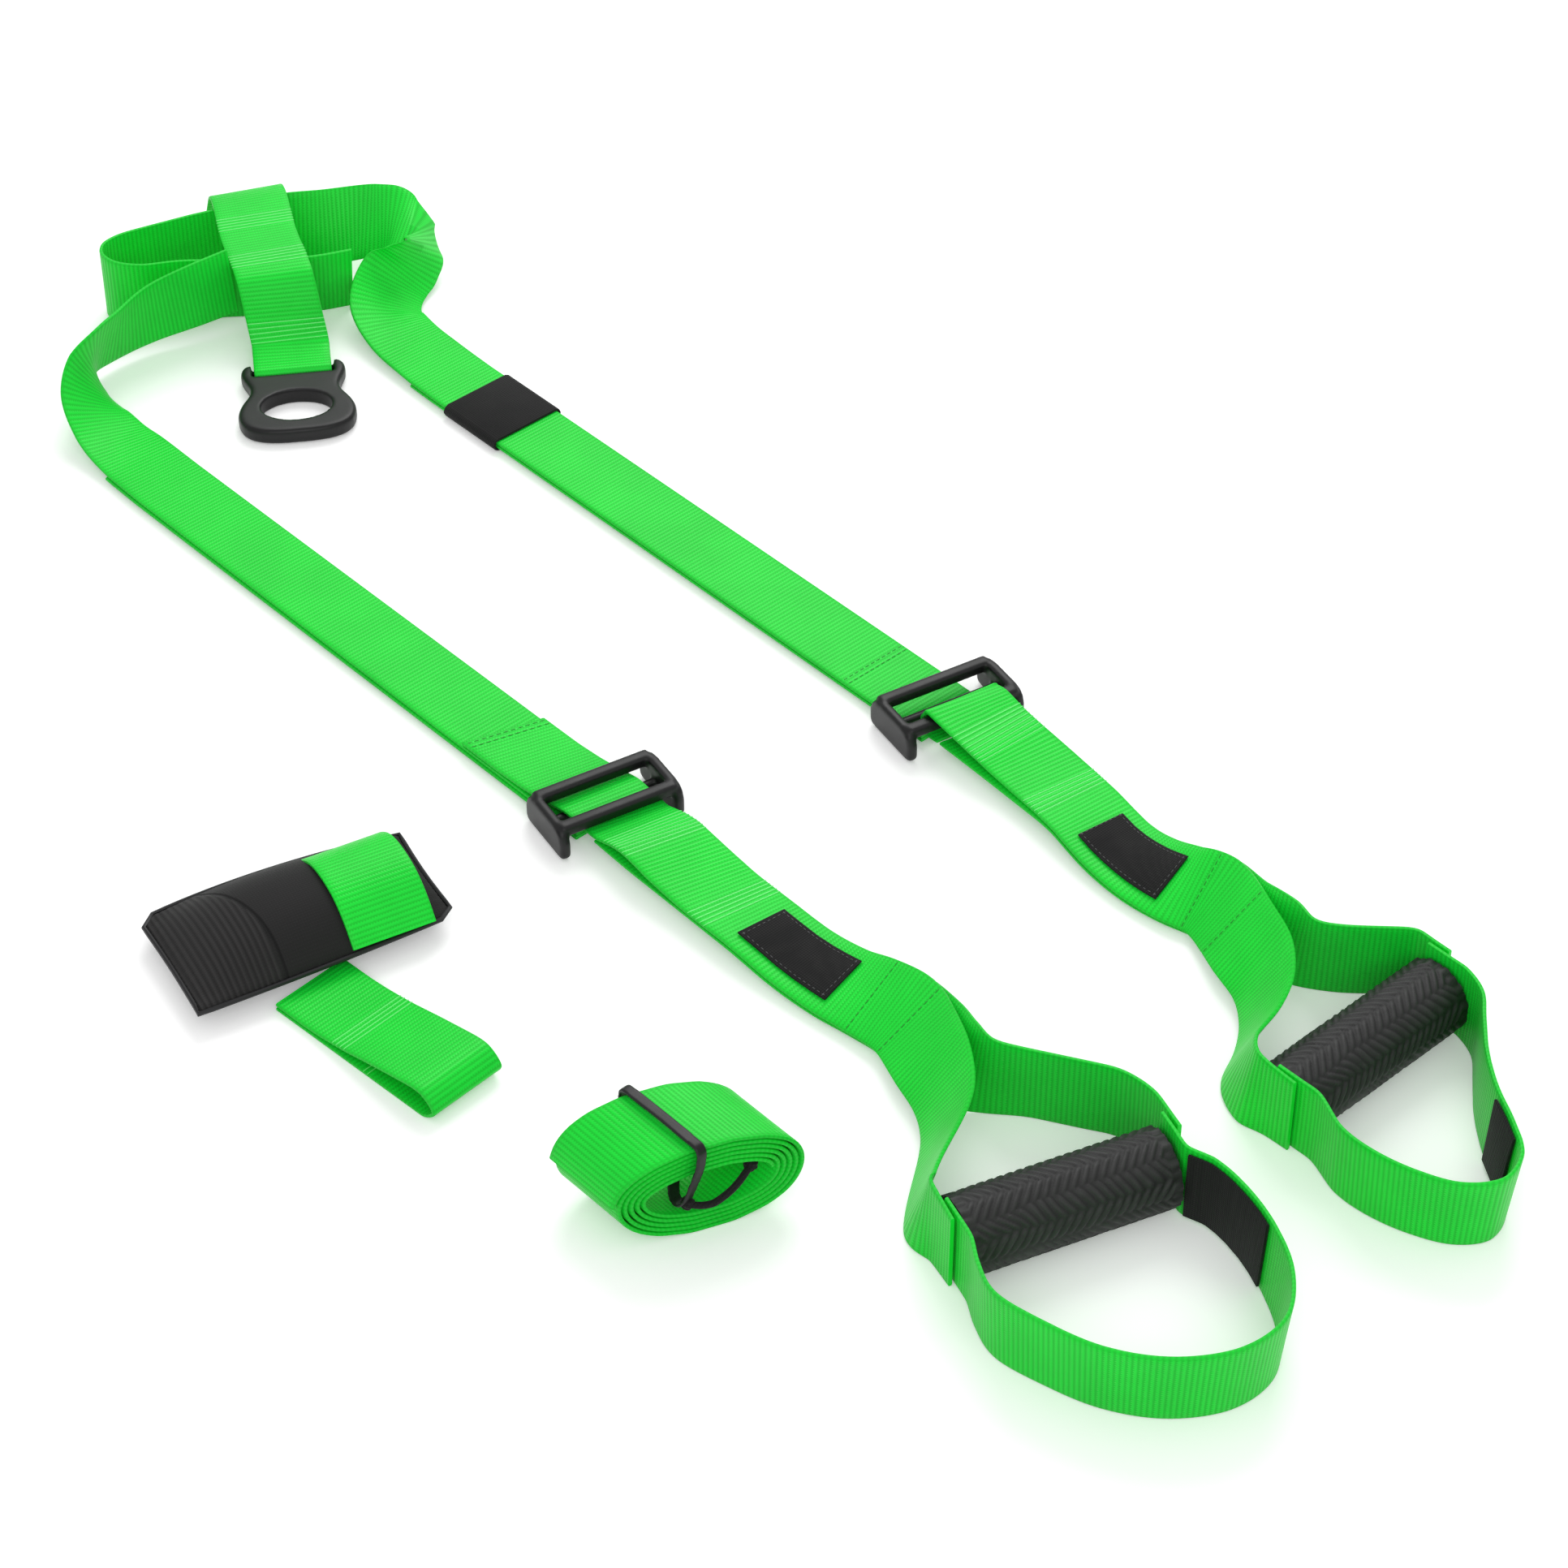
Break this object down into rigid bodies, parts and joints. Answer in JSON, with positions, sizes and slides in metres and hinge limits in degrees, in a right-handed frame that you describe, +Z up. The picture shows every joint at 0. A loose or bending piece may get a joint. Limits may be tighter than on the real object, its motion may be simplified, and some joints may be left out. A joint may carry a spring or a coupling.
{
  "type": "suspension trainer",
  "caption": "Suspension trainer laid out flat: twin webbing legs with cam buckles, foam grips, foot loops and anchor ring, with a door anchor pad and a rolled extension strap",
  "frame": {"origin": "on the floor, at the centre of the plan box of the whole layout", "axes": "+X to the right across the two legs, +Y along the legs from the foot loops to the anchor ring end, +Z up from the floor"},
  "size_m": [0.4268, 0.8928, 0.0501],
  "materials": {
    "webbing": "woven polyester webbing, bright green",
    "moulded_nylon": "injection moulded nylon, black, fine satin grain",
    "black_fabric": "woven nylon fabric, black",
    "grip_foam": "closed-cell grip foam, black, embossed",
    "grip_tube": "extruded plastic tube, dark grey"
  },
  "bodies": {
    "straps": {"left_leg_strap": "webbing", "left_leg_return": "webbing", "right_leg_strap": "webbing", "right_leg_return": "webbing", "bunch_front_loop": "webbing", "bunch_back_wall": "webbing", "anchor_strap": "webbing"},
    "ring": {"anchor_ring": "moulded_nylon"},
    "keeper": {"keeper_sleeve": "black_fabric"},
    "left_handle": {"left_buckle": "moulded_nylon", "left_handle_strap_upper": "webbing", "left_handle_strap_lower": "webbing", "left_foot_loop": "webbing", "left_label_patch": "black_fabric", "left_loop_pad": "black_fabric", "left_grip_core": "webbing"},
    "right_handle": {"right_buckle": "moulded_nylon", "right_handle_strap_upper": "webbing", "right_handle_strap_lower": "webbing", "right_foot_loop": "webbing", "right_label_patch": "black_fabric", "right_loop_pad": "black_fabric", "right_grip_core": "webbing"},
    "left_grip": {"left_grip_foam": "grip_foam", "left_grip_tube": "grip_tube"},
    "right_grip": {"right_grip_foam": "grip_foam", "right_grip_tube": "grip_tube"},
    "door_anchor": {"door_anchor_pad": "black_fabric", "door_anchor_band": "webbing", "door_anchor_tail": "webbing"},
    "extension_roll": {"extension_strap": "webbing", "roll_tie": "black_fabric"}
  },
  "joints": [
    {"name": "ring_swing", "type": "hinge", "parent": "straps", "child": "ring", "pos_m": [0.09327, 0.3274, 0.0043], "axis": [-0.8291, 0.5591, 0], "range_deg": [0, 80]},
    {"name": "keeper_slide", "type": "slide", "parent": "straps", "child": "keeper", "axis": [0, 1, 0], "range_m": [-0.15, 0]},
    {"name": "left_adjuster_slide", "type": "slide", "parent": "straps", "child": "left_handle", "axis": [0, 1, 0], "range_m": [0, 0.08]},
    {"name": "right_adjuster_slide", "type": "slide", "parent": "straps", "child": "right_handle", "axis": [0, 1, 0], "range_m": [0, 0.08]},
    {"name": "left_grip_spin", "type": "hinge", "parent": "left_handle", "child": "left_grip", "pos_m": [-0.03243, -0.3256, 0.017], "axis": [0.9501, -0.312, 0], "continuous": true},
    {"name": "right_grip_spin", "type": "hinge", "parent": "right_handle", "child": "right_grip", "pos_m": [0.11757, -0.3481, 0.017], "axis": [1, 0, 0], "continuous": true},
    {"name": "door_anchor_lift", "type": "slide", "parent": "straps", "child": "door_anchor", "axis": [0, 0, 1], "range_m": [0, 0.1]},
    {"name": "extension_roll_lift", "type": "slide", "parent": "straps", "child": "extension_roll", "axis": [0, 0, 1], "range_m": [0, 0.1]}
  ]
}
